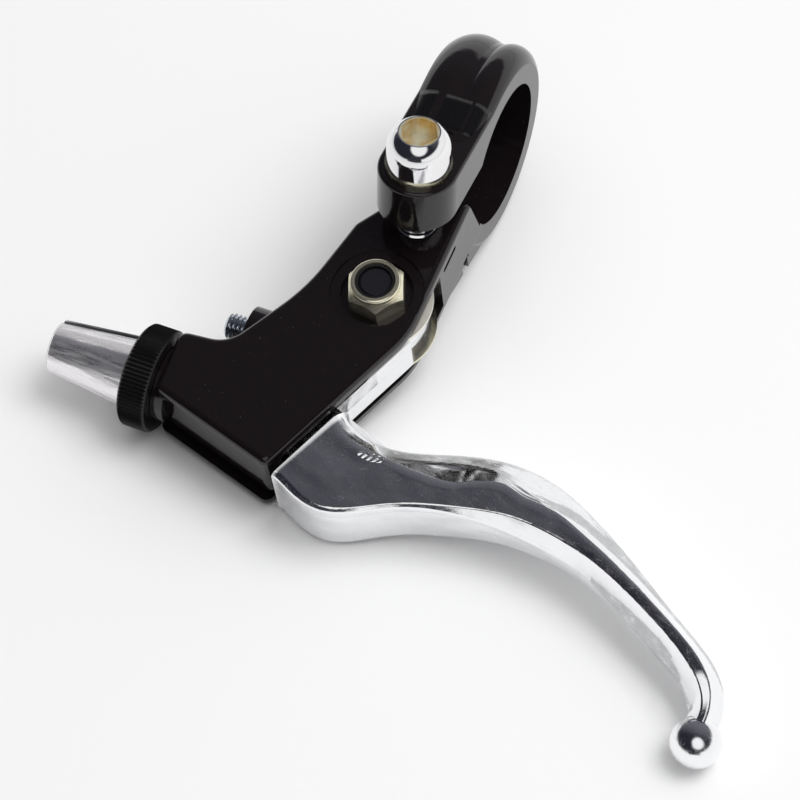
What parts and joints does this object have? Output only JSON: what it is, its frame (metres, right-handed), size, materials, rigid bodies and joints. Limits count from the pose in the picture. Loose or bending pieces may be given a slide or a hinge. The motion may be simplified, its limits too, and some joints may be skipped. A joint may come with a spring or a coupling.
{
  "type": "bicycle brake lever",
  "caption": "Bicycle brake lever: black clamp bracket for a straight handlebar, polished hinged blade with a ball tip, barrel adjuster and reach screw.",
  "frame": {"origin": "centre of the handlebar bore in the clamp ring", "axes": "+X along the handlebar towards the grip, +Y away from the blade, +Z along the pivot axis on the nut's side"},
  "size_m": [0.1135, 0.0988, 0.0418],
  "materials": {
    "black_paint": "gloss",
    "bright_zinc": "bright zinc plate",
    "pale_zinc": "pale yellow zinc plate",
    "black_steel": "black oxide",
    "black_nylon": "satin",
    "bronze": "turned",
    "polished_aluminium": "polished",
    "black_ring": "satin"
  },
  "bodies": {
    "bracket": {"bracket_body": "black_paint", "clamp_bolt": "bright_zinc", "clamp_washer": "pale_zinc", "pivot_bolt": "black_steel", "pivot_nut": "pale_zinc", "nut_insert": "black_nylon", "upper_pivot_washer": "pale_zinc", "lower_pivot_washer": "pale_zinc"},
    "lever": {"lever_blade": "polished_aluminium", "pivot_bush": "bronze"},
    "barrel": {"barrel_adjuster": "polished_aluminium"},
    "ring": {"lock_ring": "black_ring"},
    "reach": {"reach_screw": "bright_zinc"}
  },
  "joints": [
    {"name": "lever_pivot", "type": "hinge", "parent": "bracket", "child": "lever", "pos_m": [-0.001, -0.0316, 0], "axis": [0, 0, 1], "range_deg": [0, 35]},
    {"name": "barrel_travel", "type": "slide", "parent": "bracket", "child": "barrel", "axis": [-1, 0, 0], "range_m": [0, 0.005]},
    {"name": "lock_ring_spin", "type": "hinge", "parent": "bracket", "child": "ring", "pos_m": [-0.0283, -0.0535, 0], "axis": [1, 0, 0], "continuous": true},
    {"name": "reach_screw_travel", "type": "slide", "parent": "bracket", "child": "reach", "axis": [-1, 0, 0], "range_m": [0, 0.004]}
  ]
}
